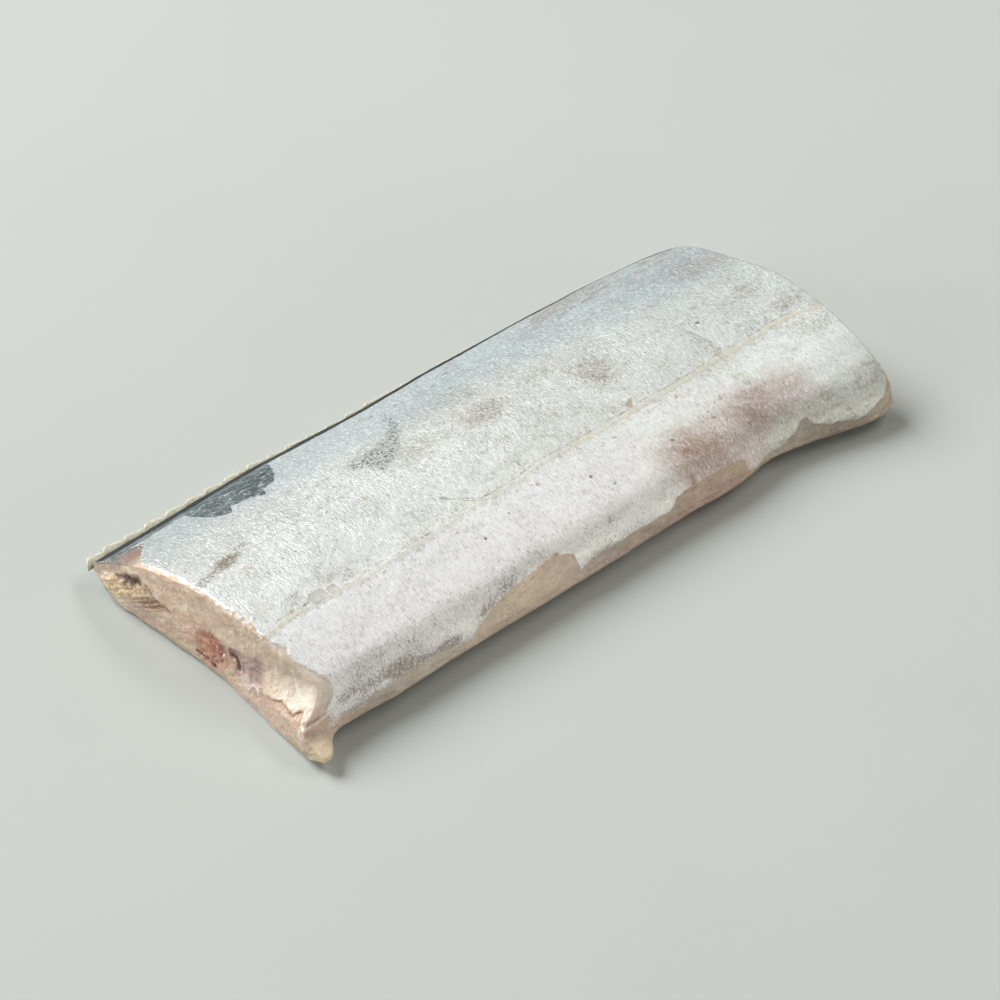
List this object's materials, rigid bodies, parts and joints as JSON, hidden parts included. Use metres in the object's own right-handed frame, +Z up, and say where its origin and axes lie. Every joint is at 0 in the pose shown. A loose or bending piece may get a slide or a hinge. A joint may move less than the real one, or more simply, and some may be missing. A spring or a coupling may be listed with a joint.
{
  "type": "semi-dried hairtail portion",
  "caption": "Cross-cut length of semi-dried silver hairtail lying on its side, skin on, cut faces showing pale flesh and backbone.",
  "frame": {"origin": "under the middle of the piece, on the surface that it lies on", "axes": "+X along the fish from the near cut to the far cut, +Y across the fish towards the back edge with the fin, +Z up through the thin way of the fish"},
  "size_m": [0.1588, 0.0742, 0.0182],
  "materials": {
    "silver_skin": "satin silver skin over pale tan flesh at the cuts",
    "fin_membrane": "translucent cream, slightly moist",
    "bone": "moist, blood-stained"
  },
  "bodies": {
    "root": {"flesh": "silver_skin", "dorsal_fin": "fin_membrane", "backbone": "bone"}
  },
  "joints": []
}
